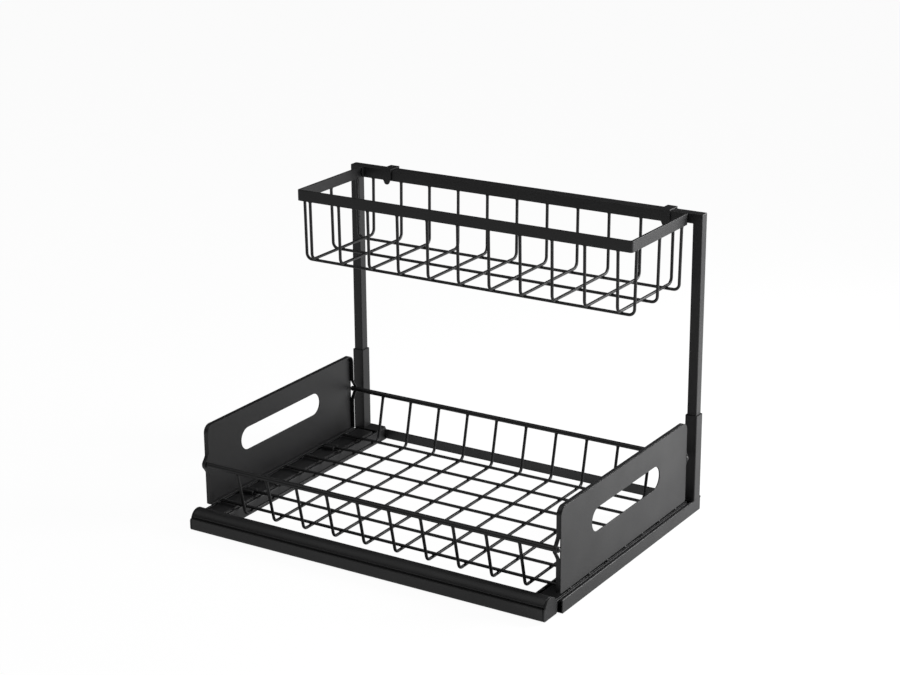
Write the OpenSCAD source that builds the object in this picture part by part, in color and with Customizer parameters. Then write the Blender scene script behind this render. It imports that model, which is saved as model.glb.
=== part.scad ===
// Under sink organizer: a low base with two ball slides, a pull out lower
// tray that also lifts off, and a narrow upper basket hung on a rear frame.
// X runs along the front bar, Y towards the back, Z up from the floor.
// The origin is on the floor, under the middle of the whole organizer.

/* [Rear frame] */
// Overall width over the two sleeves
overall_w = 400; // [320:5:480]
// Height of the rear frame above the underside of the rails
frame_h = 301; // [260:1:380]
// Outer side of the square frame tube
tube = 10; // [8:0.5:12]
// Wall of the square frame tube
tube_wall = 1; // [0.8:0.1:1.5]
// Depth of the base, from the back of the bracket to the front bar's face
base_d = 303; // [290:1:360]
// Length of each sleeve above its bracket
sleeve_h = 86.8; // [60:0.4:110]
// Wall of the sleeves
sleeve_wall = 1.2; // [0.8:0.1:1.5]
// How far the uprights reach down into the sleeves
insert_h = 60; // [30:1:75]
// Diameter of the screws that lock the uprights
lock_screw_d = 3.4; // [2.4:0.2:4]

/* [Base] */
// Height of the rubber feet
foot_h = 1; // [1:0.5:4]
// Length of a rubber foot
foot_l = 22; // [12:1:30]
// Distance of the middle of a foot from the front and the back of the base
foot_in = 51.5; // [40:0.5:65]
// Width of a rail
rail_w = 29; // [26:0.5:36]
// Height of a rail
rail_h = 13; // [11:0.5:16]
// Sheet thickness of the rails and slides
rail_t = 1.2; // [1:0.1:1.5]
// Height of the rear crossbar strip of the base
back_bar_h = 10; // [6:0.5:11]
// How far that strip stays below the top of the rails
back_bar_drop = 1.6; // [0.4:0.2:2]
// Thickness of the rear crossbar strip of the base
back_bar_t = 2; // [1.5:0.5:3]
// Width of the flat strip that ties the rails at the front
tie_w = 18; // [12:1:24]
// Thickness of the brackets under the sleeves
bracket_t = 1.2; // [1:0.1:2]

/* [Slides] */
// Diameter of the steel balls
ball_d = 4; // [3:0.5:4.5]
// Distance from one ball to the next
ball_pitch = 10; // [8:0.5:12]
// Number of balls in one row
ball_count = 6; // [4:1:7]
// How far the tray pulls out
travel = 190; // [120:5:200]
// Sheet thickness of the ball cages
cage_t = 0.8; // [0.6:0.1:1]

/* [Front bar] */
// Depth of the front bar
bar_d = 24; // [20:1:30]
// Height of the flat band of the front bar
bar_band_h = 12; // [8:0.5:14]
// Radius of the half round grip on the front bar
grip_r = 10.3; // [8:0.1:12]
// Wall of the front bar
bar_wall = 1.5; // [1:0.1:2]
// Distance of the front bar from the floor
bar_lift = 2; // [2:0.5:5]
// How far the front bar stays inside the overall width at each end
bar_inset = 4.5; // [2:0.5:10]

/* [Tray] */
// How far the side panels stay inside the overall width
tray_in = 3.9; // [2:0.1:12]
// How much shorter a side panel is than the base is deep
tray_short = 56; // [54:0.2:90]
// Height of a side panel
panel_h = 81.8; // [70:0.1:100]
// Sheet thickness of the side panels
panel_t = 1.2; // [1:0.1:2]
// Radius of the upper corners of the side panels
panel_r = 8; // [4:1:14]
// Radius of the lower corners of the side panels
panel_low_r = 2; // [1.6:0.2:6]
// Length of the handle slot
slot_l = 133; // [100:1:170]
// Height of the handle slot
slot_h = 23; // [20:0.5:30]
// Height of the middle of the handle slot above the foot of the panel
slot_z = 46.8; // [40:0.2:52]
// Diameter of the wires of the floor and the walls
wire_d = 3; // [2:0.2:3.6]
// Diameter of the top wires of the front and back wall
top_wire_d = 5; // [4:0.2:6]
// Width of the strip welded behind the edges of the side panels
strip_w = 3.8; // [3:0.2:5]
// Thickness of that strip
strip_t = 1.2; // [1:0.1:1.6]
// How far the end of a top wire stands out beyond the edge of a side panel
wire_out = 2.6; // [2.4:0.1:4.4]
// Distance of the outermost cross wires of the tray from the rails
tray_cross_in = 14.3; // [6:0.1:30]
// Number of cross wires of the tray
tray_cross_n = 10; // [6:1:10]
// Distance of the outermost long wires of the tray from the bends of the floor
tray_row_in = 10.9; // [8:0.1:24]
// Number of long wires of the tray
tray_long_n = 7; // [5:1:7]
// Distance of the bends of the floor from the edges of the side panels
floor_in = 8.5; // [4:0.1:14]
// Height of the top wires above the long wires of the floor
wall_h = 44.7; // [30:0.1:54]

/* [Basket] */
// How far the rim of the upper basket stays inside the overall width
basket_in = 15.6; // [14.2:0.2:40]
// Depth of the rim of the upper basket
basket_d = 113.6; // [90:0.1:130]
// Height of the upper basket
basket_h = 74.3; // [55:0.1:90]
// Height of the flat bar of the rim
rim_h = 11; // [8:0.5:16]
// Thickness of the flat bar of the rim
rim_t = 2.5; // [2:0.1:3.5]
// Distance of the outermost cross wires of the basket from its ends
basket_cross_in = 14.9; // [10:0.1:24]
// Distance of the front and back long wires of the basket from its rim
basket_row_in = 11.3; // [10:0.1:24]
// Number of cross wires of the basket
basket_cross_n = 11; // [7:1:11]
// How far the basket walls draw in towards the floor
basket_taper = 1; // [0.5:0.5:4]
// Width of the hanging hooks
hook_w = 10.5; // [8:0.5:12]
// Thickness of the hanging hooks
hook_t = 1.6; // [1.2:0.1:2]
// How far the hooks reach down behind the frame
hook_drop = 12; // [8:1:20]
// Distance of the left hook from the left end of the crossbar
hook_left_in = 47; // [44:1:56]
// Distance of the right hook from the right end of the crossbar
hook_right_in = 37; // [37:1:56]

/* [Hidden] */
$fn = 48;

// Gap at a weld, where two pieces of one body meet
seat = 0.02;
// Clearance of a tube that plugs into a sleeve, on each side
plug_gap = 0.1;
// Clearance between a ball and its race, and between a ball and its cage
race_gap = 0.05;
cage_gap = 0.1;
// Clearance of a screw in the hole that it passes through
screw_gap = 0.2;
// Distance between the rim of the basket and the crossbar behind it
hang_gap = 0.5;

// Base
back_y = base_d / 2;
front_y = -base_d / 2;
rail_z = foot_h;
rail_top = rail_z + rail_h;
bar_back_y = front_y + bar_d;
rail_front_y = bar_back_y + 3;
rail_back_y = back_y;
rail_x = overall_w / 2 - 1 - rail_w / 2;
rail_in_x = rail_x - rail_w / 2;
foot_y = base_d / 2 - foot_in;

// Sleeves and frame
sleeve = tube + 2 * (sleeve_wall + plug_gap);
sleeve_x = overall_w / 2 - sleeve / 2;
sleeve_y = back_y - 3 - sleeve / 2;
sleeve_z = rail_top + bracket_t;
sleeve_top = sleeve_z + sleeve_h;
frame_top = rail_z + frame_h;
frame_w = 2 * sleeve_x + tube;
frame_front_y = sleeve_y - tube / 2;
bracket_front_y = sleeve_y - sleeve / 2 - 1;
lock_z = sleeve_top - 12;
lock_head_d = lock_screw_d * 2;
lock_head_h = 1.8;

// Slides: a ball runs between a race of the rail and a race of the inner member
race_r = ball_d / 2 + race_gap;
race_out = race_r + rail_t;
ball_x = rail_w / 2 - race_out;
ball_z = rail_top - race_out;
inner_wall_x = ball_x - race_r;
inner_top = rail_top + 0.5;
inner_front_y = bar_back_y;
inner_back_y = bracket_front_y - 2;
rivet_y = rail_front_y + 2.5;
rivet_d = 4;
rivet_h = 1.8;
stop_tab_t = rail_t;
cage_l = ball_count * ball_pitch;
cage_y = rivet_y + rivet_d / 2 + 0.5 + cage_l / 2 + travel / 2;
cage_z = rail_z + rail_t + 1;
cage_wall_x = ball_x - 0.1;

// Front bar
bar_half = overall_w / 2 - bar_inset;
bar_mid_y = front_y + bar_d / 2;
grip_z = bar_lift + bar_band_h - 2.8;
cap_t = 2;
bar_screw_d = 3;
bar_head_d = 6;
bar_head_h = 1.6;
bar_screw_z = bar_lift + bar_band_h / 2;
bar_tab_t = 1.5;

// Tray
panel_l = base_d - tray_short;
floor_d = panel_l - 2 * floor_in;
tray_row = (floor_d - 2 * tray_row_in) / (tray_long_n - 1);
tray_pitch = 2 * (rail_in_x - tray_cross_in) / (tray_cross_n - 1);
panel_x = overall_w / 2 - tray_in - panel_t / 2;
saddle_base = 1;
long_z = inner_top + saddle_base + wire_d / 2;
cross_z = long_z - wire_d - seat;
top_wire_z = long_z + wall_h;
top_wire_y = panel_l / 2 + wire_out;
wall_flare = top_wire_y - floor_d / 2;
panel_z = long_z + wire_d / 2 + seat;
panel_in_x = panel_x - panel_t / 2;
long_end_x = panel_in_x;
tray_bend_r = 6;
tray_lean = atan(wall_flare / (top_wire_z - cross_z));

// Basket
rim_top = frame_top;
basket_w = overall_w - 2 * basket_in;
rim_back_y = frame_front_y - hang_gap;
rim_y = rim_back_y - basket_d / 2;
rim_r = 3;
basket_long_z = rim_top - basket_h + wire_d / 2;
basket_cross_z = basket_long_z + wire_d + seat;
basket_wire_top = rim_top - rim_h - seat;
basket_bend_r = 6;
basket_pitch = (basket_w - 2 * basket_cross_in) / (basket_cross_n - 1);
wall_top_y = basket_d / 2 - rim_t / 2;
wall_low_y = wall_top_y - basket_taper;
basket_lean = atan(basket_taper / (basket_wire_top - basket_cross_z));
end_top_x = basket_w / 2 - rim_t / 2;
end_low_x = end_top_x - basket_taper;
end_lean = atan(basket_taper / (basket_wire_top - basket_long_z));
basket_row_y = basket_d / 2 - basket_row_in;
basket_rows = [-basket_row_y, 0, basket_row_y];

black = "#232427";
dark = "#1b1c1f";
steel = "#a9adb3";
rubber = "#111213";
nylon = "#2c2d30";

// Shared shapes

// A round rod from point a to point b
module rod(a, b, d) {
  v = b - a;
  len = norm(v);
  translate(a)
    rotate([0, acos(v.z / len), atan2(v.y, v.x)])
      cylinder(d = d, h = len);
}

// A bend of a wire in the YZ plane, from level to angle a, centred on the origin
module bend_yz(r, a, d) {
  rotate([0, 90, 0])
    rotate_extrude(angle = a)
      translate([r, 0])
        circle(d = d);
}

// A bend of a wire in the XZ plane, from level to angle a, centred on the origin
module bend_xz(r, a, d) {
  rotate([0, 0, -90])
    bend_yz(r, a, d);
}

// Flat outline with round corners, centred
module round_rect(l, h, r) {
  square([l - 2 * r, h], center = true);
  square([l, h - 2 * r], center = true);
  for (i = [-1, 1], j = [-1, 1])
    translate([i * (l / 2 - r), j * (h / 2 - r)])
      circle(r = r);
}

// Flat outline with round ends, centred
module stadium(l, h) {
  square([l - h, h], center = true);
  for (i = [-1, 1])
    translate([i * (l - h) / 2, 0])
      circle(d = h);
}

// Extrudes a flat outline drawn in Y and Z along X, centred
module along_x(len) {
  rotate([90, 0, 90])
    linear_extrude(height = len, center = true)
      children();
}

// Extrudes a flat outline drawn in X and Z along Y, from y0 to y1
module along_y(y0, y1) {
  translate([0, y1, 0])
    rotate([90, 0, 0])
      linear_extrude(height = y1 - y0)
        children();
}

// Pie slice of a ring between two angles
module ring_part(r0, r1, a0, a1) {
  far = 2 * r1;
  mid = (a0 + a1) / 2;
  intersection() {
    difference() {
      circle(r = r1);
      circle(r = r0);
    }
    polygon([[0, 0],
      [far * cos(a0), far * sin(a0)],
      [far * cos((a0 + mid) / 2), far * sin((a0 + mid) / 2)],
      [far * cos(mid), far * sin(mid)],
      [far * cos((a1 + mid) / 2), far * sin((a1 + mid) / 2)],
      [far * cos(a1), far * sin(a1)]]);
  }
}

// Makes the left copy of a piece drawn on the right
module side(s) {
  if (s < 0)
    mirror([1, 0, 0]) children();
  else
    children();
}

// Base

// Half of the rail outline: web, side wall and the race for the balls, which is
// pressed into a corner that stays nearly square outside
module rail_half() {
  corner_r = 1;
  lip_x = ball_x + 0.4;
  translate([0, rail_z])
    square([rail_w / 2, rail_t]);
  difference() {
    union() {
      translate([lip_x, rail_z])
        square([rail_w / 2 - lip_x - corner_r, rail_h]);
      translate([lip_x, rail_z])
        square([rail_w / 2 - lip_x, rail_h - corner_r]);
      translate([rail_w / 2 - corner_r, rail_top - corner_r])
        circle(r = corner_r);
    }
    translate([lip_x - 1, rail_z + rail_t])
      square([rail_w / 2 - rail_t - lip_x + 1, ball_z - rail_z - rail_t]);
    translate([ball_x, ball_z])
      circle(r = race_r);
  }
  translate([ball_x, ball_z])
    ring_part(race_r, race_out, -55, 5);
}

module base_rail(s) {
  color(black)
    translate([s * rail_x, 0, 0])
      along_y(rail_front_y, rail_back_y)
        for (m = [0, 1])
          mirror([m, 0])
            rail_half();
}
module left_base_rail() { base_rail(-1); }
module right_base_rail() { base_rail(1); }

module back_bar() {
  color(black)
    translate([-rail_in_x + seat, back_y - back_bar_t, rail_top - back_bar_drop - back_bar_h])
      cube([2 * (rail_in_x - seat), back_bar_t, back_bar_h]);
}

module front_tie() {
  color(black)
    translate([-rail_in_x + seat, rail_front_y + 2, rail_z])
      cube([2 * (rail_in_x - seat), tie_w, 1.5]);
}

// Cover plate over the rear end of a rail, with a flange that closes it
module rear_bracket(s) {
  color(black)
    side(s)
      union() {
        translate([rail_in_x, bracket_front_y, rail_top + seat])
          cube([overall_w / 2 - rail_in_x, back_y - bracket_front_y, bracket_t - seat]);
        translate([rail_x - inner_wall_x, back_y - bracket_t, rail_z + rail_t + seat])
          cube([2 * inner_wall_x, bracket_t, rail_h - rail_t + bracket_t / 2]);
      }
}
module left_rear_bracket() { rear_bracket(-1); }
module right_rear_bracket() { rear_bracket(1); }

module rubber_feet() {
  color(rubber)
    for (i = [-1, 1], j = [-1, 1])
      translate([i * rail_x, j * foot_y, 0])
        linear_extrude(height = foot_h - seat)
          round_rect(rail_w - 9, foot_l, 3);
}

// Rivets in the floor of the rails that stop the ball cages
module stop_rivets() {
  color(steel)
    for (i = [-1, 1])
      translate([i * rail_x, rivet_y, rail_z + rail_t + seat])
        cylinder(d = rivet_d, h = rivet_h - seat);
}

// Rear frame

module sleeve_tube(s) {
  hole_d = lock_screw_d + 2 * screw_gap;
  color(black)
    translate([s * sleeve_x, sleeve_y, sleeve_z + seat])
      difference() {
        translate([-sleeve / 2, -sleeve / 2, 0])
          cube([sleeve, sleeve, sleeve_h - seat]);
        translate([-tube / 2 - plug_gap, -tube / 2 - plug_gap, -1])
          cube([tube + 2 * plug_gap, tube + 2 * plug_gap, sleeve_h + 2]);
        translate([0, 0, lock_z - sleeve_z])
          rotate([-90, 0, 0])
            cylinder(d = hole_d, h = sleeve);
      }
}
module left_sleeve() { sleeve_tube(-1); }
module right_sleeve() { sleeve_tube(1); }

// Square tube along Z, standing on the origin
module square_tube(len) {
  difference() {
    translate([-tube / 2, -tube / 2, 0])
      cube([tube, tube, len]);
    translate([-tube / 2 + tube_wall, -tube / 2 + tube_wall, -1])
      cube([tube - 2 * tube_wall, tube - 2 * tube_wall, len + 2]);
  }
}

// An upright with its top cut at 45 degrees for the mitre with the crossbar
module upright(s) {
  low = sleeve_top - insert_h;
  hole_d = lock_screw_d + 2 * plug_gap;
  color(black)
    side(s)
      translate([sleeve_x, sleeve_y, 0])
        difference() {
          translate([0, 0, low])
            square_tube(frame_top - low);
          translate([-tube / 2, -tube, frame_top - tube])
            rotate([0, -45, 0])
              translate([-2 * tube, 0, -seat])
                cube([4 * tube, 2 * tube, 2 * tube]);
          translate([0, 0, lock_z])
            rotate([-90, 0, 0])
              cylinder(d = hole_d, h = tube);
        }
}
module left_upright() { upright(-1); }
module right_upright() { upright(1); }

module crossbar() {
  color(black)
    translate([0, sleeve_y, frame_top - tube / 2])
      difference() {
        translate([-frame_w / 2, 0, 0])
          rotate([0, 90, 0])
            square_tube(frame_w);
        for (m = [0, 1])
          mirror([m, 0, 0])
            translate([frame_w / 2 - tube, -tube, -tube / 2])
              rotate([0, -45, 0])
                translate([-2 * tube, 0, -4 * tube + seat])
                  cube([6 * tube, 2 * tube, 4 * tube]);
      }
}

// Pan head screws through the back of the sleeves into the uprights
module lock_screws() {
  shank = sleeve_wall + plug_gap + tube_wall + 1;
  color(steel)
    for (i = [-1, 1])
      translate([i * sleeve_x, sleeve_y + sleeve / 2 + seat, lock_z])
        rotate([-90, 0, 0])
          union() {
            cylinder(d = lock_head_d, h = lock_head_h);
            translate([0, 0, -shank])
              cylinder(d = lock_screw_d, h = shank + 1);
          }
}

// Slides

// U shaped strip with notches that hold the balls apart
module ball_cage(s) {
  color(steel)
    translate([s * rail_x, 0, 0])
      difference() {
        along_y(cage_y - cage_l / 2, cage_y + cage_l / 2)
          for (m = [0, 1])
            mirror([m, 0]) {
              translate([0, cage_z])
                square([cage_wall_x + cage_t / 2, cage_t]);
              translate([cage_wall_x - cage_t / 2, cage_z])
                square([cage_t, ball_z + 1.4 - cage_z]);
            }
        for (i = [0 : ball_count - 1])
          translate([-rail_w / 2, cage_y + (i - (ball_count - 1) / 2) * ball_pitch, ball_z])
            rotate([0, 90, 0])
              cylinder(r = ball_d / 2 + cage_gap, h = rail_w);
      }
}
module left_ball_cage() { ball_cage(-1); }
module right_ball_cage() { ball_cage(1); }

module slide_balls(s) {
  color(steel)
    for (m = [-1, 1], i = [0 : ball_count - 1])
      translate([s * rail_x + m * ball_x, cage_y + (i - (ball_count - 1) / 2) * ball_pitch, ball_z])
        sphere(d = ball_d, $fn = 24);
}
module left_slide_balls() { slide_balls(-1); }
module right_slide_balls() { slide_balls(1); }

// Half of the inner member's outline: top web, side wall and race
module inner_half() {
  translate([0, inner_top - rail_t])
    square([inner_wall_x, rail_t]);
  translate([inner_wall_x - rail_t, ball_z])
    square([rail_t, inner_top - ball_z]);
  translate([ball_x, ball_z])
    ring_part(race_r, race_out, 130, 230);
}

// Moving member of a slide, with a front tab for the bar and a rear stop tab
module slide_inner(s) {
  tab_z = bar_lift + 1;
  color(black)
    translate([s * rail_x, 0, 0])
      difference() {
        union() {
          along_y(inner_front_y + seat, inner_back_y)
            for (m = [0, 1])
              mirror([m, 0])
                inner_half();
          translate([-inner_wall_x + rail_t / 2, inner_front_y + seat, tab_z])
            cube([2 * inner_wall_x - rail_t, bar_tab_t, inner_top - rail_t / 2 - tab_z]);
          translate([-inner_wall_x + rail_t / 2, inner_back_y - stop_tab_t, cage_z + 0.2])
            cube([2 * inner_wall_x - rail_t, stop_tab_t, inner_top - rail_t / 2 - cage_z - 0.2]);
        }
        translate([0, inner_front_y - 1, bar_screw_z])
          rotate([-90, 0, 0])
            cylinder(d = bar_screw_d + 2 * screw_gap, h = bar_tab_t + 2);
      }
}
module left_slide_inner() { slide_inner(-1); }
module right_slide_inner() { slide_inner(1); }

// Nylon saddles on the slides that the long wires of the tray drop into
module wire_saddles() {
  saddle_l = wire_d + 7;
  saddle_w = inner_wall_x + 3;
  last = (tray_long_n - 3) / 2 * tray_row;
  color(nylon)
    for (i = [-1, 1], y = [-last, last])
      translate([i * rail_x, y, inner_top + seat])
        difference() {
          translate([-saddle_w / 2, -saddle_l / 2, 0])
            cube([saddle_w, saddle_l, saddle_base + wire_d * 0.9]);
          translate([-saddle_w, 0, saddle_base + wire_d / 2 - seat])
            rotate([0, 90, 0])
              cylinder(r = wire_d / 2 + 0.3, h = 2 * saddle_w);
          translate([-saddle_w, -wire_d / 2 - 0.3, saddle_base + wire_d / 2])
            cube([2 * saddle_w, wire_d + 0.6, wire_d]);
        }
}

// Front bar

// Outline of the bar in Y and Z, drawn in by the given distance: a flat band
// with a half round grip on top, which leaves a narrow ledge along both sides
module bar_outline(inset) {
  translate([bar_mid_y, bar_lift + bar_band_h / 2])
    round_rect(bar_d - 2 * inset, bar_band_h - 2 * inset, 2.5 - inset / 2);
  translate([bar_mid_y, grip_z])
    intersection() {
      circle(r = grip_r - inset);
      translate([-bar_d, 0])
        square([2 * bar_d, bar_d]);
    }
}

module front_bar() {
  color(black)
    difference() {
      along_x(2 * (bar_half - cap_t) - 2 * seat)
        bar_outline(0);
      along_x(2 * bar_half)
        bar_outline(bar_wall);
      for (i = [-1, 1])
        translate([i * rail_x, bar_back_y - bar_wall - 1, bar_screw_z])
          rotate([-90, 0, 0])
            cylinder(d = bar_screw_d + 2 * screw_gap, h = bar_wall + 2);
    }
}

// End cap with a plug that reaches into the bar
module bar_cap(s) {
  plug = 6;
  color(dark)
    side(s)
      union() {
        translate([bar_half - cap_t / 2, 0, 0])
          along_x(cap_t)
            bar_outline(0);
        translate([bar_half - cap_t - plug / 2 + seat, 0, 0])
          along_x(plug + 2 * seat)
            bar_outline(bar_wall + 0.1);
      }
}
module left_bar_cap() { bar_cap(-1); }
module right_bar_cap() { bar_cap(1); }

// Screws that hold the front bar to the tabs of the slides
module bar_screws() {
  color(steel)
    for (i = [-1, 1])
      translate([i * rail_x, inner_front_y + bar_tab_t + 2 * seat, bar_screw_z])
        rotate([-90, 0, 0])
          union() {
            cylinder(d = bar_head_d, h = bar_head_h);
            translate([0, 0, -bar_tab_t - bar_wall - 2])
              cylinder(d = bar_screw_d, h = bar_tab_t + bar_wall + 3);
          }
}

// Tray

// Outline of a side panel, centred and drawn in by the given distance
module panel_outline(inset) {
  half_l = panel_l / 2 - inset;
  half_h = panel_h / 2 - inset;
  r = panel_r - inset;
  low_r = panel_low_r - inset;
  translate([-half_l, low_r - half_h])
    square([2 * half_l, 2 * half_h - r - low_r]);
  translate([r - half_l, -r])
    square([2 * (half_l - r), half_h + r]);
  translate([low_r - half_l, -half_h])
    square([2 * (half_l - low_r), half_h]);
  for (i = [-1, 1]) {
    translate([i * (half_l - r), half_h - r])
      circle(r = r);
    translate([i * (half_l - low_r), low_r - half_h])
      circle(r = low_r);
  }
}

// Side panel of sheet steel with a long handle slot
module side_panel(s) {
  color(black)
    side(s)
      translate([panel_x, 0, panel_z])
        along_x(panel_t)
          difference() {
            translate([0, panel_h / 2])
              panel_outline(0);
            translate([0, slot_z])
              stadium(slot_l, slot_h);
          }
}
module left_side_panel() { side_panel(-1); }
module right_side_panel() { side_panel(1); }

// Outline of the bulge of an edge strip beyond y = 0, drawn in by the given
// distance: a round cap over the end of the top wire between two slopes
module bulge(inset) {
  wire_r = top_wire_d / 2 + seat;
  out = wire_out + wire_r + strip_t;
  cap_r = wire_r + strip_t + 2;
  slope = 33;
  foot_r = cap_r - 0.35;
  half_h = (foot_r + (out - cap_r) * cos(slope)) / sin(slope) - inset * tan(slope / 2);
  tip_y = out - cap_r + (foot_r - inset) * cos(slope);
  tip_z = (foot_r - inset) * sin(slope);
  deep = -inset - strip_t / 2;
  polygon([[deep, -half_h], [-inset, -half_h], [tip_y, -tip_z], [tip_y, tip_z], [-inset, half_h], [deep, half_h]]);
  translate([out - cap_r, 0])
    circle(r = cap_r - inset);
}

// Strip on edge behind the rim of a side panel. It bulges at both ends, round
// the end of a top wire, so that the panel keeps its straight edge there.
module edge_strip(s) {
  mid_z = panel_z + panel_h / 2;
  color(black)
    side(s)
      translate([panel_in_x - seat - strip_w / 2, 0, mid_z])
        along_x(strip_w)
          difference() {
            union() {
              panel_outline(0);
              for (m = [0, 1])
                mirror([m, 0])
                  translate([panel_l / 2, top_wire_z - mid_z])
                    bulge(0);
            }
            panel_outline(strip_t);
            for (m = [0, 1])
              mirror([m, 0])
                translate([panel_l / 2, top_wire_z - mid_z])
                  bulge(strip_t);
          }
}
module left_edge_strip() { edge_strip(-1); }
module right_edge_strip() { edge_strip(1); }

// Floor of the tray: long wires over cross wires whose ends turn up
module tray_floor_grid() {
  a = 90 - tray_lean;
  straight = floor_d / 2 - tray_bend_r * tan(a / 2);
  color(black) {
    for (i = [0 : tray_long_n - 1]) {
      y = (i - (tray_long_n - 1) / 2) * tray_row;
      rod([-long_end_x, y, long_z], [long_end_x, y, long_z], wire_d);
    }
    for (i = [0 : tray_cross_n - 1])
      translate([(i - (tray_cross_n - 1) / 2) * tray_pitch, 0, cross_z])
        union() {
          rod([0, -straight, 0], [0, straight, 0], wire_d);
          for (m = [0, 1])
            mirror([0, m, 0])
              translate([0, straight, tray_bend_r])
                bend_yz(tray_bend_r, a, wire_d);
        }
  }
}

// Wires of one wire wall of the tray, from the bend up to the top wire
module tray_wall(s) {
  dir = [0, sin(tray_lean), cos(tray_lean)];
  foot = [0, floor_d / 2, cross_z];
  low = tray_bend_r * tan((90 - tray_lean) / 2);
  high = norm([wall_flare, top_wire_z - cross_z]) - top_wire_d / 2 - seat;
  color(black)
    for (i = [0 : tray_cross_n - 1])
      translate([(i - (tray_cross_n - 1) / 2) * tray_pitch, 0, 0])
        mirror([0, s < 0 ? 1 : 0, 0])
          rod(foot + dir * (low + seat), foot + dir * high, wire_d);
}
module tray_front_wall() { tray_wall(-1); }
module tray_back_wall() { tray_wall(1); }

module tray_top_wire(s) {
  end = panel_in_x - seat;
  color(black)
    rod([-end, s * top_wire_y, top_wire_z], [end, s * top_wire_y, top_wire_z], top_wire_d);
}
module tray_front_top_wire() { tray_top_wire(-1); }
module tray_back_top_wire() { tray_top_wire(1); }

// Basket

module basket_rim() {
  color(black)
    translate([0, rim_y, rim_top - rim_h])
      linear_extrude(height = rim_h)
        difference() {
          round_rect(basket_w, basket_d, rim_r);
          round_rect(basket_w - 2 * rim_t, basket_d - 2 * rim_t, rim_r - rim_t / 2);
        }
}

// Floor of the basket: cross wires over long wires, all with ends turned up
module basket_floor_grid() {
  a = 90 - basket_lean;
  straight = wall_low_y - basket_bend_r * tan(a / 2);
  b = 90 - end_lean;
  end = end_low_x - basket_bend_r * tan(b / 2);
  color(black)
    translate([0, rim_y, 0]) {
      for (i = [0 : basket_cross_n - 1])
        translate([(i - (basket_cross_n - 1) / 2) * basket_pitch, 0, basket_cross_z])
          union() {
            rod([0, -straight, 0], [0, straight, 0], wire_d);
            for (m = [0, 1])
              mirror([0, m, 0])
                translate([0, straight, basket_bend_r])
                  bend_yz(basket_bend_r, a, wire_d);
          }
      for (y = basket_rows)
        translate([0, y, basket_long_z])
          union() {
            rod([-end, 0, 0], [end, 0, 0], wire_d);
            for (m = [0, 1])
              mirror([m, 0, 0])
                translate([end, 0, basket_bend_r])
                  bend_xz(basket_bend_r, b, wire_d);
          }
    }
}

// Upright wires of the front or back of the basket
module basket_wall(s) {
  dir = [0, sin(basket_lean), cos(basket_lean)];
  foot = [0, wall_low_y, basket_cross_z];
  low = basket_bend_r * tan((90 - basket_lean) / 2);
  high = norm([basket_taper, basket_wire_top - basket_cross_z]);
  color(black)
    for (i = [0 : basket_cross_n - 1])
      translate([(i - (basket_cross_n - 1) / 2) * basket_pitch, rim_y, 0])
        mirror([0, s < 0 ? 1 : 0, 0])
          rod(foot + dir * (low + seat), foot + dir * high, wire_d);
}
module basket_front_wires() { basket_wall(-1); }
module basket_back_wires() { basket_wall(1); }

// Upright wires of the left or right end of the basket
module basket_end(s) {
  dir = [sin(end_lean), 0, cos(end_lean)];
  foot = [end_low_x, 0, basket_long_z];
  low = basket_bend_r * tan((90 - end_lean) / 2);
  high = norm([basket_taper, basket_wire_top - basket_long_z]);
  color(black)
    side(s)
      for (y = basket_rows)
        translate([0, rim_y + y, 0])
          rod(foot + dir * (low + seat), foot + dir * high, wire_d);
}
module basket_left_wires() { basket_end(-1); }
module basket_right_wires() { basket_end(1); }

// Strap hook: welded inside the rim, over the rim and the crossbar, and down
// behind it. The front end is a rounded tongue that shows below the rim.
module hook(x) {
  y0 = rim_back_y - rim_t - seat - hook_t;
  y1 = frame_front_y + tube + 0.4 + hook_t;
  z1 = frame_top + seat;
  tongue = rim_h - 2.5;
  color(black)
    translate([x, 0, 0])
      union() {
        translate([-hook_w / 2, y0, z1])
          cube([hook_w, y1 - y0, hook_t]);
        translate([-hook_w / 2, y0, z1 - tongue])
          cube([hook_w, hook_t, tongue + hook_t / 2]);
        translate([0, y0 + hook_t, z1 - tongue])
          rotate([90, 0, 0])
            linear_extrude(height = hook_t)
              stadium_end();
        translate([-hook_w / 2, y1 - hook_t, z1 - hook_drop])
          cube([hook_w, hook_t, hook_drop + hook_t / 2]);
      }
}

// Rounded end of the tongue, hanging down from the origin
module stadium_end() {
  end_r = hook_w * 0.32;
  polygon([[-hook_w / 2, 0.01], [hook_w / 2, 0.01], [end_r, -hook_w * 0.36], [-end_r, -hook_w * 0.36]]);
  translate([0, -hook_w * 0.3])
    circle(r = end_r);
}
module left_hook() { hook(hook_left_in - frame_w / 2); }
module right_hook() { hook(frame_w / 2 - hook_right_in); }

left_base_rail();
right_base_rail();
back_bar();
front_tie();
left_rear_bracket();
right_rear_bracket();
rubber_feet();
stop_rivets();
left_sleeve();
right_sleeve();
left_upright();
right_upright();
crossbar();
lock_screws();
left_ball_cage();
right_ball_cage();
left_slide_balls();
right_slide_balls();
left_slide_inner();
right_slide_inner();
wire_saddles();
front_bar();
left_bar_cap();
right_bar_cap();
bar_screws();
left_side_panel();
right_side_panel();
left_edge_strip();
right_edge_strip();
tray_floor_grid();
tray_front_wall();
tray_back_wall();
tray_front_top_wire();
tray_back_top_wire();
basket_rim();
basket_floor_grid();
basket_front_wires();
basket_back_wires();
basket_left_wires();
basket_right_wires();
left_hook();
right_hook();
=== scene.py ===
import math

import bmesh
import bpy
from mathutils import Matrix, Vector


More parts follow.
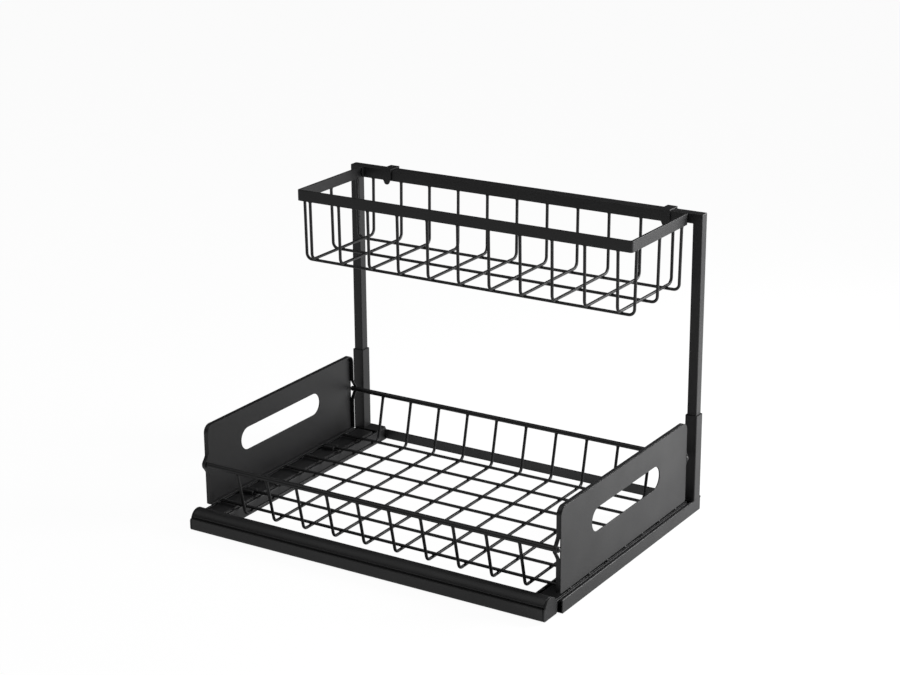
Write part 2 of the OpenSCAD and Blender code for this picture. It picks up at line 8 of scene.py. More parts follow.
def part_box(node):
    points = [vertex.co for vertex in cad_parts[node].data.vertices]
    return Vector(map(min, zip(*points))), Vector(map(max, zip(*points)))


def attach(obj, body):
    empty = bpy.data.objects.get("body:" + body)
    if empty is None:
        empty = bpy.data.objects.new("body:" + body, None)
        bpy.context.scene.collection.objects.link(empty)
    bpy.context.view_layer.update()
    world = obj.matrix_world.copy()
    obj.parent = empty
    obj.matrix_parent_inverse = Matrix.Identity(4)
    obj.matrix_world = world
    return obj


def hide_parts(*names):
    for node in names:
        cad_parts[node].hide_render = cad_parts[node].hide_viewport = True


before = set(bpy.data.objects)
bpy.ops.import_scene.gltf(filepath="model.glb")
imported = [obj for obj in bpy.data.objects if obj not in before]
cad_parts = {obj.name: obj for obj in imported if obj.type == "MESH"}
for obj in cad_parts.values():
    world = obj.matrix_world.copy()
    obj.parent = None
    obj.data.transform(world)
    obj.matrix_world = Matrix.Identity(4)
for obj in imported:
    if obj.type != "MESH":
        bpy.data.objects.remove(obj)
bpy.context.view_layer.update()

# The studio: a wide pale paper floor, which shows white to the camera, shows
# pale in glossy faces, and still takes a faint shadow of the organizer.
FLOOR_SIZE = 40
PAPER_TONE = 0.9
PAPER_ROUGHNESS = 0.9
FLOOR_GLOW = 0.9
MIRRORED_GLOW = 0.4
GLOW_STRENGTH = 1.06
paper = bpy.data.materials.new("studio_paper")
paper.use_nodes = True
nodes, links = paper.node_tree.nodes, paper.node_tree.links
surface = nodes["Principled BSDF"]
surface.inputs["Base Color"].default_value = (PAPER_TONE, PAPER_TONE, PAPER_TONE, 1)
surface.inputs["Roughness"].default_value = PAPER_ROUGHNESS
glow = nodes.new("ShaderNodeEmission")
glow.inputs["Color"].default_value = (1, 1, 1, 1)
glow.inputs["Strength"].default_value = GLOW_STRENGTH
path = nodes.new("ShaderNodeLightPath")
share = nodes.new("ShaderNodeMath")
share.operation = "MULTIPLY"
share.inputs[1].default_value = FLOOR_GLOW
links.new(path.outputs["Is Camera Ray"], share.inputs[0])
for ray in ("Is Glossy Ray", "Is Transmission Ray"):
    more = nodes.new("ShaderNodeMath")
    more.operation = "MULTIPLY_ADD"
    more.inputs[1].default_value = MIRRORED_GLOW
    links.new(path.outputs[ray], more.inputs[0])
    links.new(share.outputs[0], more.inputs[2])
    share = more
mix = nodes.new("ShaderNodeMixShader")
links.new(share.outputs[0], mix.inputs["Fac"])
links.new(surface.outputs["BSDF"], mix.inputs[1])
links.new(glow.outputs["Emission"], mix.inputs[2])
links.new(mix.outputs["Shader"], nodes["Material Output"].inputs["Surface"])
bpy.ops.mesh.primitive_plane_add(size=FLOOR_SIZE, location=(0, 0, 0))
floor = bpy.context.object
floor.name = "studio_floor"
floor.data.materials.append(paper)

# The camera stands where the photograph was taken: right of the front, about
# 19 degrees above the tray. Its place was fitted to the picture, in metres.
PHOTO_WIDTH = 900
PHOTO_HEIGHT = 675
FOCAL_PIXELS = 2137.84
CENTRE_PIXEL = (423.03, 350.58)
CAMERA_PLACE = (1.02198, -1.62009, 0.82312)
CAMERA_YAW = math.radians(32.852)
CAMERA_PITCH = math.radians(-18.710)
CAMERA_ROLL = math.radians(-0.649)
cam_data = bpy.data.cameras.new("photo_camera")
cam_data.sensor_width = 36
cam_data.lens = FOCAL_PIXELS / PHOTO_WIDTH * cam_data.sensor_width
cam_data.shift_x = (PHOTO_WIDTH / 2 - CENTRE_PIXEL[0]) / PHOTO_WIDTH
cam_data.shift_y = (CENTRE_PIXEL[1] - PHOTO_HEIGHT / 2) / PHOTO_WIDTH
level = math.cos(CAMERA_PITCH)
ahead = Vector((-math.sin(CAMERA_YAW) * level, math.cos(CAMERA_YAW) * level,
                math.sin(CAMERA_PITCH)))
flat_right = Vector((math.cos(CAMERA_YAW), math.sin(CAMERA_YAW), 0))
flat_up = flat_right.cross(ahead)
right = math.cos(CAMERA_ROLL) * flat_right + math.sin(CAMERA_ROLL) * flat_up
up = math.cos(CAMERA_ROLL) * flat_up - math.sin(CAMERA_ROLL) * flat_right
camera = bpy.data.objects.new("photo_camera", cam_data)
bpy.context.scene.collection.objects.link(camera)
camera_axes = Matrix((right, up, -ahead)).transposed().to_4x4()
camera.matrix_world = Matrix.Translation(CAMERA_PLACE) @ camera_axes
bpy.context.scene.camera = camera

# The light: a nearly dark sky that shows white to the camera, a softbox low at
# the right rear and a larger one high above the front left. Both are aimed at
# the floor, which the upright faces mirror: gray at the right, dark in front.
SKY_STRENGTH = 0.06
SKY_TO_CAMERA = 1
SOFTBOXES = (
    # name, place, aim, width, depth and power
    ("side_softbox", (0.6, 0.42, 0.4), (0.3, 0.22, 0.0), 0.45, 0.4, 8.0),
    ("top_softbox", (-0.5, -0.9, 2.2), (-0.2, -0.3, 0.0), 2.4, 2.4, 17),
)
world = bpy.data.worlds.new("studio_sky")
bpy.context.scene.world = world
world.use_nodes = True
sky = world.node_tree.nodes["Background"]
sky.inputs["Color"].default_value = (1, 1, 1, 1)
seen = world.node_tree.nodes.new("ShaderNodeMapRange")
seen.inputs["To Min"].default_value = SKY_STRENGTH
seen.inputs["To Max"].default_value = SKY_TO_CAMERA
path = world.node_tree.nodes.new("ShaderNodeLightPath")
world.node_tree.links.new(path.outputs["Is Camera Ray"], seen.inputs["Value"])
world.node_tree.links.new(seen.outputs["Result"], sky.inputs["Strength"])
for name, place, aim, width, depth, power in SOFTBOXES:
    lamp_data = bpy.data.lights.new(name, "AREA")
    lamp_data.shape = "RECTANGLE"
    lamp_data.size = width
    lamp_data.size_y = depth
    lamp_data.energy = power
    lamp = bpy.data.objects.new(name, lamp_data)
    bpy.context.scene.collection.objects.link(lamp)
    lamp.location = place
    beam = Vector(aim) - Vector(place)
    lamp.rotation_euler = beam.to_track_quat("-Z", "Y").to_euler()
    lamp.visible_camera = False
bpy.context.scene.view_settings.view_transform = "Standard"

# The two base rails: folded strips of 1.2 mm steel with a ball race pressed
# into each upper corner, powder coated satin black. They lie on the floor
# on their feet and carry everything else.
RAIL_EDGE = 0.0003
MERGE_DISTANCE = 5e-6
FLAT_ANGLE = math.radians(0.6)
SHARP_ANGLE = math.radians(38)
EDGE_STEPS = 2
LONG_EDGE_STEPS = 3
LONG_EDGE_FROM = 0.05
GRAIN_DETAIL = 2
PATCH_DETAIL = 3
NOISE_LOW = 0.3
NOISE_HIGH = 0.7
MIX_FACTOR = 0
MIX_FIRST_COLOR = 6
MIX_SECOND_COLOR = 7
MIX_RESULT_COLOR = 2


def grain_group():
    """Fine skin of a coated or moulded surface: small bumps, slow drifts of tone and gloss."""
    group = bpy.data.node_groups.new("surface_grain", "ShaderNodeTree")
    face = group.interface
    for name, kind, value in (
        ("Grain Size", "NodeSocketFloat", 0.0008),
        ("Patch Size", "NodeSocketFloat", 0.04),
        ("Dark", "NodeSocketColor", (0.01, 0.01, 0.01, 1)),
        ("Light", "NodeSocketColor", (0.02, 0.02, 0.02, 1)),
        ("Gloss Low", "NodeSocketFloat", 0.4),
        ("Gloss High", "NodeSocketFloat", 0.6),
    ):
        face.new_socket(name, in_out="INPUT", socket_type=kind).default_value = value
    face.new_socket("Color", in_out="OUTPUT", socket_type="NodeSocketColor")
    face.new_socket("Roughness", in_out="OUTPUT", socket_type="NodeSocketFloat")
    face.new_socket("Height", in_out="OUTPUT", socket_type="NodeSocketFloat")
    n, l = group.nodes, group.links
    given = n.new("NodeGroupInput")
    made = n.new("NodeGroupOutput")
    place = n.new("ShaderNodeTexCoord")

    def noise(size_name, detail):
        turns = n.new("ShaderNodeMath")
        turns.operation = "DIVIDE"
        turns.inputs[0].default_value = 1
        l.new(given.outputs[size_name], turns.inputs[1])
        texture = n.new("ShaderNodeTexNoise")
        texture.inputs["Detail"].default_value = detail
        l.new(place.outputs["Object"], texture.inputs["Vector"])
        l.new(turns.outputs[0], texture.inputs["Scale"])
        return texture.outputs["Fac"]

    fine = noise("Grain Size", GRAIN_DETAIL)
    patches = noise("Patch Size", PATCH_DETAIL)
    tone = n.new("ShaderNodeMix")
    tone.data_type = "RGBA"
    l.new(patches, tone.inputs[MIX_FACTOR])
    l.new(given.outputs["Dark"], tone.inputs[MIX_FIRST_COLOR])
    l.new(given.outputs["Light"], tone.inputs[MIX_SECOND_COLOR])
    l.new(tone.outputs[MIX_RESULT_COLOR], made.inputs["Color"])
    gloss = n.new("ShaderNodeMapRange")
    l.new(patches, gloss.inputs["Value"])
    gloss.inputs["From Min"].default_value = NOISE_LOW
    gloss.inputs["From Max"].default_value = NOISE_HIGH
    l.new(given.outputs["Gloss Low"], gloss.inputs["To Min"])
    l.new(given.outputs["Gloss High"], gloss.inputs["To Max"])
    l.new(gloss.outputs["Result"], made.inputs["Roughness"])
    l.new(fine, made.inputs["Height"])
    return group


surface_grain = grain_group()


def grained(name, dark, light, grain, patch, gloss, bump, specular=0.5, metallic=0.0):
    """A material whose tone, gloss and skin come from the surface grain."""
    material = bpy.data.materials.new(name)
    material.use_nodes = True
    n, l = material.node_tree.nodes, material.node_tree.links
    shader = n["Principled BSDF"]
    shader.inputs["Metallic"].default_value = metallic
    shader.inputs["Specular IOR Level"].default_value = specular
    skin = n.new("ShaderNodeGroup")
    skin.node_tree = surface_grain
    skin.inputs["Grain Size"].default_value = grain
    skin.inputs["Patch Size"].default_value = patch
    skin.inputs["Dark"].default_value = (*dark, 1)
    skin.inputs["Light"].default_value = (*light, 1)
    skin.inputs["Gloss Low"].default_value = gloss[0]
    skin.inputs["Gloss High"].default_value = gloss[1]
    relief = n.new("ShaderNodeBump")
    relief.inputs["Strength"].default_value = 1
    relief.inputs["Distance"].default_value = bump
    l.new(skin.outputs["Color"], shader.inputs["Base Color"])
    l.new(skin.outputs["Roughness"], shader.inputs["Roughness"])
    l.new(skin.outputs["Height"], relief.inputs["Height"])
    l.new(relief.outputs["Normal"], shader.inputs["Normal"])
    return material


powder_coat = grained(
    "satin_black_powder_coat", (0.0085, 0.0085, 0.009), (0.015, 0.015, 0.016),
    grain=0.0009, patch=0.05, gloss=(0.42, 0.52), bump=0.000025, specular=0.45)


def cad_copy(*names):
    """A copy of CAD nodes, with the loose triangles of their meshes merged."""
    bm = bmesh.new()
    for node in names:
        bm.from_mesh(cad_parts[node].data)
    bmesh.ops.remove_doubles(bm, verts=bm.verts, dist=MERGE_DISTANCE)
    return bm


def flat_parts_joined(bm):
    """Joins the triangles that lie in one plane."""
    bmesh.ops.dissolve_limit(bm, angle_limit=FLAT_ANGLE, verts=bm.verts, edges=bm.edges)


def rounded(bm, width, steps, wanted):
    """Rounds the sharp edges that are wanted."""
    chosen = [e for e in bm.edges if len(e.link_faces) == 2
              and e.calc_face_angle(0) > SHARP_ANGLE and wanted(e)]
    if chosen:
        bmesh.ops.bevel(bm, geom=chosen, offset=width, offset_type="OFFSET", segments=steps,
                        profile=0.5, affect="EDGES", clamp_overlap=False)


def finished(bm, name, body, slot, material, *replaced):
    """Turns a bmesh into a piece that rides on its body, smooth but flat where it is flat."""
    mesh = bpy.data.meshes.new(name)
    bm.to_mesh(mesh)
    bm.free()
    mesh.materials.append(material)
    mesh.polygons.foreach_set("use_smooth", [True] * len(mesh.polygons))
    piece = bpy.data.objects.new(name, mesh)
    bpy.context.scene.collection.objects.link(piece)
    evener = piece.modifiers.new("even_normals", "WEIGHTED_NORMAL")
    evener.keep_sharp = True
    mesh.set_sharp_from_angle(angle=SHARP_ANGLE)
    return settled(piece, body, slot, *replaced)


def settled(piece, body, slot, *replaced):
    """Applies the piece's modifiers, hangs it on its body and hides the nodes it stands for."""
    graph = bpy.context.evaluated_depsgraph_get()
    mesh = bpy.data.meshes.new_from_object(piece.evaluated_get(graph), depsgraph=graph)
    mesh.name = piece.name
    piece.modifiers.clear()
    piece.data = mesh
    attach(piece, body)
    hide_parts(*replaced)
    return piece


def softened(node, body, slot, material, edge, long_edge=0.0):
    """A copy of a CAD node with rounded edges. Long outer edges may be rounder than the rest."""
    bm = cad_copy(node)
    flat_parts_joined(bm)
    if long_edge:
        rounded(bm, long_edge, LONG_EDGE_STEPS,
                lambda e: e.is_convex and e.calc_length() > LONG_EDGE_FROM)
    rounded(bm, edge, EDGE_STEPS, lambda e: e.is_convex)
    return finished(bm, node + "_coated", body, slot, material, node)


for node in ("left_base_rail", "right_base_rail"):
    softened(node, "root", "frame_steel", powder_coat, RAIL_EDGE)

# The strips that hold the rails apart: one on edge across the back and one
# flat across the front, both spot welded to the rails and coated with them.
STRIP_EDGE = 0.0003
for node in ("back_bar", "front_tie"):
    softened(node, "root", "frame_steel", powder_coat, STRIP_EDGE)

# The rear brackets: small folded plates that close the back end of each rail
# and give the sleeve a flat foot to be welded on. Their corners are rounded.
PLATE_CORNER = 0.002
CORNER_STEPS = 4
CORNER_LOW = 0.0008
CORNER_HIGH = 0.00132


def at_plate_corner(e):
    """Whether an edge stands at the corner of a plate, through its thickness."""
    rise = abs(e.verts[0].co.z - e.verts[1].co.z)
    return e.is_convex and rise > CORNER_LOW and e.calc_length() < CORNER_HIGH


for node in ("left_rear_bracket", "right_rear_bracket"):
    bm = cad_copy(node)
    flat_parts_joined(bm)
    rounded(bm, PLATE_CORNER, CORNER_STEPS, at_plate_corner)
    rounded(bm, STRIP_EDGE, EDGE_STEPS, lambda e: e.is_convex and e.calc_length() > PLATE_CORNER)
    finished(bm, node + "_coated", "root", "frame_steel", powder_coat, node)

# The feet: four moulded pads of black rubber, glued under the ends of the
# rails so that the steel doesn't scratch the floor of the cupboard.
FOOT_EDGE = 0.0004
rubber = grained(
    "black_rubber", (0.012, 0.012, 0.012), (0.022, 0.022, 0.022),
    grain=0.0006, patch=0.03, gloss=(0.72, 0.85), bump=0.00004, specular=0.3)
softened("rubber_feet", "root", "rubber", rubber, FOOT_EDGE)

# The stop rivets: a zinc plated pin in the floor of each rail, which stops
# the ball cage at the end of its way.
RIVET_EDGE = 0.0003
zinc = grained(
    "zinc_plate", (0.48, 0.49, 0.51), (0.62, 0.63, 0.65),
    grain=0.0005, patch=0.012, gloss=(0.26, 0.4), bump=0.000008, metallic=1.0)
softened("stop_rivets", "root", "bare_steel", zinc, RIVET_EDGE)

# The sleeves: short square tubes welded on the brackets, with a clearance
# hole behind for the screw that locks the upright.
TUBE_CORNER = 0.0009
TUBE_END = 0.0002
for node in ("left_sleeve", "right_sleeve"):
    softened(node, "root", "frame_steel", powder_coat, TUBE_END, TUBE_CORNER)

# The rear frame: two uprights and a crossbar of 10 mm square tube, cut at 45
# degrees, welded, ground smooth and coated as one piece.
MITRE_GAP = 0.00012
MITRE_FACING = 0.6
TUBE_SIDE_FROM = 0.0095
FRAME_NODES = ("left_upright", "crossbar", "right_upright")
bm = cad_copy(*FRAME_NODES)
bm.normal_update()
cut_faces = [f for f in bm.faces if min(abs(f.normal.x), abs(f.normal.z)) > MITRE_FACING]
bmesh.ops.delete(bm, geom=cut_faces, context="FACES")
bmesh.ops.remove_doubles(bm, verts=bm.verts, dist=MITRE_GAP)
flat_parts_joined(bm)
rounded(bm, TUBE_CORNER, LONG_EDGE_STEPS,
        lambda e: e.is_convex and e.calc_length() > TUBE_SIDE_FROM)
rounded(bm, TUBE_END, EDGE_STEPS, lambda e: e.is_convex)
finished(bm, "rear_frame_tube", "root", "frame_steel", powder_coat, *FRAME_NODES)

# The screws: zinc plated pan heads with a cross recess. Two lock the uprights
# in their sleeves from behind, and two hold the front bar to the slides.
HEAD_CURVE = ((0, 1), (0.55, 0.96), (0.86, 0.72), (1, 0.3), (1, 0))
SCREW_SIDES = 24
RECESS_ARM = 0.55
RECESS_WIDTH = 0.16
RECESS_ENDS = ((0.6, 0.35), (1.0, 1.35))


def pan_head_screw(bm, spot, head_r, head_h, shank_r, shank_l):
    """A screw along Y whose head stands out towards +Y from the given spot."""
    profile = [(head_r * r, head_h * h) for r, h in HEAD_CURVE]
    profile += [(shank_r, 0), (shank_r, -shank_l), (0, -shank_l)]
    angles = [2 * math.pi * i / SCREW_SIDES for i in range(SCREW_SIDES)]
    rings = []
    for r, h in profile:
        if r == 0:
            rings.append([bm.verts.new((spot[0], spot[1] + h, spot[2]))])
            continue
        rings.append([bm.verts.new((spot[0] + r * math.cos(a), spot[1] + h,
                                    spot[2] + r * math.sin(a))) for a in angles])
    for low, high in zip(rings, rings[1:]):
        for i in range(SCREW_SIDES):
            j = (i + 1) % SCREW_SIDES
            corners = [low[i % len(low)], low[j % len(low)],
                       high[j % len(high)], high[i % len(high)]]
            bm.faces.new(list(dict.fromkeys(corners)))


def cross_cutter(name, spots, head_r, head_h):
    """The shape that a cross recess takes out of each head: a cross that narrows inwards."""
    a, w = RECESS_ARM * head_r, RECESS_WIDTH * head_r
    outline = [(a, w), (w, w), (w, a), (-w, a), (-w, w), (-a, w),
               (-a, -w), (-w, -w), (-w, -a), (w, -a), (w, -w), (a, -w)]
    bm = bmesh.new()
    for spot in spots:
        deep, high = [[bm.verts.new((spot[0] + x * wide, spot[1] + head_h * level,
                                     spot[2] + z * wide)) for x, z in outline]
                      for wide, level in RECESS_ENDS]
        bm.faces.new(deep)
        bm.faces.new(high)
        for i in range(len(outline)):
            j = (i + 1) % len(outline)
            bm.faces.new((deep[i], deep[j], high[j], high[i]))
    bmesh.ops.recalc_face_normals(bm, faces=bm.faces)
    mesh = bpy.data.meshes.new(name)
    bm.to_mesh(mesh)
    bm.free()
    cutter = bpy.data.objects.new(name, mesh)
    bpy.context.scene.collection.objects.link(cutter)
    return cutter


def screw_pair(node, name, body, head_r, head_h, shank_r, head_y):
    """The two screws of one node, left and right, with their recesses cut."""
    low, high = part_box(node)
    middle_z = (low[2] + high[2]) / 2
    spots = [(low[0] + head_r, head_y, middle_z), (high[0] - head_r, head_y, middle_z)]
    bm = bmesh.new()
    for spot in spots:
        pan_head_screw(bm, spot, head_r, head_h, shank_r, head_y - low[1])
    bmesh.ops.recalc_face_normals(bm, faces=bm.faces)
    mesh = bpy.data.meshes.new(name)
    bm.to_mesh(mesh)
    bm.free()
    mesh.materials.append(zinc)
    piece = bpy.data.objects.new(name, mesh)
    bpy.context.scene.collection.objects.link(piece)
    cutter = cross_cutter(name + "_recess", spots, head_r, head_h)
    cut = piece.modifiers.new("recess", "BOOLEAN")
    cut.object = cutter
    cut.operation = "DIFFERENCE"
    cut.solver = "EXACT"
    settled(piece, body, "bare_steel", node)
    bpy.data.objects.remove(cutter)
    piece.data.polygons.foreach_set("use_smooth", [True] * len(piece.data.polygons))
    piece.data.set_sharp_from_angle(angle=SHARP_ANGLE)


LOCK_HEAD_R = 0.0034
LOCK_HEAD_H = 0.0018
LOCK_SHANK_R = 0.0017
screw_pair("lock_screws", "locking_screws", "root", LOCK_HEAD_R, LOCK_HEAD_H, LOCK_SHANK_R,
           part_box("lock_screws")[1][1] - LOCK_HEAD_H)

# The ball cages: thin zinc plated strips with a notch for each ball, which
# keep the balls of the slides apart.
CAGE_EDGE = 0.0001
for node in ("left_ball_cage", "right_ball_cage"):
    softened(node, "ball_cages", "bare_steel", zinc, CAGE_EDGE)

# The slide balls: hardened steel balls of 4 mm, six on each side of a cage,
# pressed into its notches. They roll in the races of the rails.
BALL_R = 0.002
BALL_COUNT = 6
BALL_SIDES = 24
polished_steel = grained(
    "polished_steel", (0.6, 0.6, 0.62), (0.7, 0.7, 0.72),
    grain=0.0005, patch=0.01, gloss=(0.08, 0.16), bump=0.000002, metallic=1.0)


def new_tree(name, inputs):
    """A geometry tree with named inputs, which ends in Realize Instances and Set Material."""
    tree = bpy.data.node_groups.new(name, "GeometryNodeTree")
    tree.interface.new_socket("Geometry", in_out="INPUT", socket_type="NodeSocketGeometry")
    for title, kind in inputs:
        tree.interface.new_socket(title, in_out="INPUT", socket_type=kind)
    tree.interface.new_socket("Finish", in_out="INPUT", socket_type="NodeSocketMaterial")
    tree.interface.new_socket("Geometry", in_out="OUTPUT", socket_type="NodeSocketGeometry")
    given = tree.nodes.new("NodeGroupInput")
    realize = tree.nodes.new("GeometryNodeRealizeInstances")
    smooth = tree.nodes.new("GeometryNodeSetShadeSmooth")
    paint = tree.nodes.new("GeometryNodeSetMaterial")
    made = tree.nodes.new("NodeGroupOutput")
    tree.links.new(realize.outputs[0], smooth.inputs[0])
    tree.links.new(smooth.outputs[0], paint.inputs["Geometry"])
    tree.links.new(given.outputs["Finish"], paint.inputs["Material"])
    tree.links.new(paint.outputs[0], made.inputs[0])
    return tree, given, realize.inputs[0]


def centred_row(tree, given):
    """Points in a row round the middle, from the inputs Count and Spacing."""
    n, l = tree.nodes, tree.links
    less = n.new("ShaderNodeMath")
    less.operation = "SUBTRACT"
    less.inputs[1].default_value = 1
    l.new(given.outputs["Count"], less.inputs[0])
    half = n.new("ShaderNodeMath")
    half.operation = "MULTIPLY"
    half.inputs[1].default_value = -0.5
    l.new(less.outputs[0], half.inputs[0])
    start = n.new("ShaderNodeVectorMath")
    start.operation = "SCALE"
    l.new(given.outputs["Spacing"], start.inputs[0])
    l.new(half.outputs[0], start.inputs["Scale"])
    row = n.new("GeometryNodeMeshLine")
    l.new(given.outputs["Count"], row.inputs["Count"])
    l.new(start.outputs[0], row.inputs["Start Location"])
    l.new(given.outputs["Spacing"], row.inputs["Offset"])
    return row.outputs["Mesh"]


def grown(name, points, edges, tree, values, body, slot, *replaced):
    """Runs a geometry tree on a few points and settles the result as a piece."""
    mesh = bpy.data.meshes.new(name)
    mesh.from_pydata([tuple(p) for p in points], edges, [])
    piece = bpy.data.objects.new(name, mesh)
    bpy.context.scene.collection.objects.link(piece)
    growth = piece.modifiers.new("growth", "NODES")
    growth.node_group = tree
    names = {s.name: s.identifier for s in tree.interface.items_tree if s.in_out == "INPUT"}
    for title, value in values.items():
        growth[names[title]] = value
    return settled(piece, body, slot, *replaced)


def bead_tree():
    """Balls or weld beads: on each given point stands a row of small round bodies."""
    tree, given, goal = new_tree("round_bodies_in_rows", (
        ("Count", "NodeSocketInt"), ("Spacing", "NodeSocketVector"), ("Size", "NodeSocketVector"),
        ("Segments", "NodeSocketInt")))
    n, l = tree.nodes, tree.links
    body = n.new("GeometryNodeMeshUVSphere")
    body.inputs["Radius"].default_value = 1
    l.new(given.outputs["Segments"], body.inputs["Segments"])
    half = n.new("ShaderNodeMath")
    half.operation = "MULTIPLY"
    half.inputs[1].default_value = 0.5
    l.new(given.outputs["Segments"], half.inputs[0])
    l.new(half.outputs[0], body.inputs["Rings"])
    row = n.new("GeometryNodeInstanceOnPoints")
    l.new(centred_row(tree, given), row.inputs["Points"])
    l.new(body.outputs["Mesh"], row.inputs["Instance"])
    l.new(given.outputs["Size"], row.inputs["Scale"])
    rows = n.new("GeometryNodeInstanceOnPoints")
    l.new(given.outputs["Geometry"], rows.inputs["Points"])
    l.new(row.outputs[0], rows.inputs["Instance"])
    l.new(rows.outputs[0], goal)
    return tree


round_bodies = bead_tree()
for side in ("left", "right"):
    low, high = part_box(side + "_slide_balls")
    middle_y = (low[1] + high[1]) / 2
    spacing = (high[1] - low[1] - 2 * BALL_R) / (BALL_COUNT - 1)
    rows = [(x, middle_y, (low[2] + high[2]) / 2) for x in (low[0] + BALL_R, high[0] - BALL_R)]
    values = {"Count": BALL_COUNT, "Spacing": (0, spacing, 0), "Size": (BALL_R, BALL_R, BALL_R),
              "Segments": BALL_SIDES, "Finish": polished_steel}
    grown(side + "_balls", rows, [], round_bodies, values, "ball_cages", "bare_steel",
          side + "_slide_balls")

# The inner slide members: folded steel strips that run on the balls. Each has
# a tab in front that the bar is screwed to, and a stop tab behind.
for node in ("left_slide_inner", "right_slide_inner"):
    softened(node, "carriage", "frame_steel", powder_coat, STRIP_EDGE)

# The saddles: moulded nylon blocks clipped on the slides, with a groove that
# each holds one long wire of the tray.
SADDLE_EDGE = 0.0003
nylon = grained(
    "black_nylon", (0.012, 0.012, 0.013), (0.02, 0.02, 0.021),
    grain=0.0005, patch=0.02, gloss=(0.55, 0.66), bump=0.00002, specular=0.4)
softened("wire_saddles", "carriage", "nylon", nylon, SADDLE_EDGE)

# The front bar: a rolled hollow bar with a half round grip over a flat band
# and a rolled groove between them, coated like the frame. It pulls the tray.
BAR_EDGE = 0.0004
GRIP_R = 0.0103
GRIP_Z = 0.0112
BAND_TOP = 0.014
BAND_CORNER = 0.0025
LEDGE_CORNER = 0.0006
GROOVE_IN = 0.0089
GROOVE_LIP = 0.0012
bar_low, bar_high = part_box("front_bar")
bar_middle = (bar_low[1] + bar_high[1]) / 2
band_half = (bar_high[1] - bar_low[1]) / 2
NEAR = 0.00004
bm = cad_copy("front_bar")
flat_parts_joined(bm)
for v in bm.verts:
    out, z = abs(v.co.y - bar_middle), v.co.z
    turn = Vector((out - band_half + BAND_CORNER, z - BAND_TOP + BAND_CORNER))
    on_corner = turn.x > -NEAR and turn.y > -NEAR and abs(turn.length - BAND_CORNER) < NEAR
    on_grip = z > GRIP_Z and abs(math.hypot(out, z - GRIP_Z) - GRIP_R) < NEAR
    if on_corner and on_grip:
        out, z = GROOVE_IN, BAND_TOP
    elif on_corner:
        out = band_half - LEDGE_CORNER + turn.x / BAND_CORNER * LEDGE_CORNER
        z = BAND_TOP - LEDGE_CORNER + turn.y / BAND_CORNER * LEDGE_CORNER
    elif on_grip and z < BAND_TOP + GROOVE_LIP:
        out, z = GROOVE_IN, BAND_TOP + GROOVE_LIP
    v.co.y = bar_middle + math.copysign(out, v.co.y - bar_middle)
    v.co.z = z
rounded(bm, BAR_EDGE, EDGE_STEPS, lambda e: e.is_convex)
finished(bm, "front_bar_coated", "carriage", "frame_steel", powder_coat, "front_bar")

# The caps that close the ends of the front bar: moulded nylon with the
# outline of the bar, each held by a plug pressed into it.
CAP_EDGE = 0.0006
for node in ("left_bar_cap", "right_bar_cap"):
    softened(node, "carriage", "nylon", nylon, CAP_EDGE)

# The bar screws: zinc plated like those of the sleeves. They pass through the
# front tabs of the slides into the back of the bar.
BAR_HEAD_R = 0.003
BAR_HEAD_H = 0.0016
BAR_SHANK_R = 0.0015
screw_pair("bar_screws", "front_bar_screws", "carriage", BAR_HEAD_R, BAR_HEAD_H, BAR_SHANK_R,
           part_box("bar_screws")[1][1] - BAR_HEAD_H)

# The side panels: punched sheet steel of 1.2 mm with rounded corners and a
# handle slot, coated after welding.
SHEET_EDGE = 0.00035
for node in ("left_side_panel", "right_side_panel"):
    softened(node, "tray", "frame_steel", powder_coat, SHEET_EDGE)

# The edge strips: a flat strip bent on edge behind each panel's rim. It is
# spot welded there, and bulges out round the ends of the top wires.
RIM_STRIP_EDGE = 0.0002
for node in ("left_edge_strip", "right_edge_strip"):
    softened(node, "tray", "frame_steel", powder_coat, RIM_STRIP_EDGE)

# The tray's wires: drawn steel wire of 3 mm. The cross wires are bent up at
# both ends, the long wires lie on them, and each crossing is spot welded.
WIRE_R = 0.0015
TRAY_CROSS = 10
TRAY_LONG = 7
TRAY_BEND = 0.006
TRAY_BEND_CORNER = 0.115
TRAY_BEAD_R = 0.0018
BEND_STEPS = 7
WIRE_SIDES = 12
BEAD_SIDES = 10
BEAD_RINGS = 6
TIP_IN = 0.2
LONG_TIP_IN = 0.3
wire_coat = grained(
    "satin_black_wire_coat", (0.008, 0.008, 0.0085), (0.014, 0.014, 0.015),
    grain=0.0008, patch=0.03, gloss=(0.4, 0.5), bump=0.00002, specular=0.45)


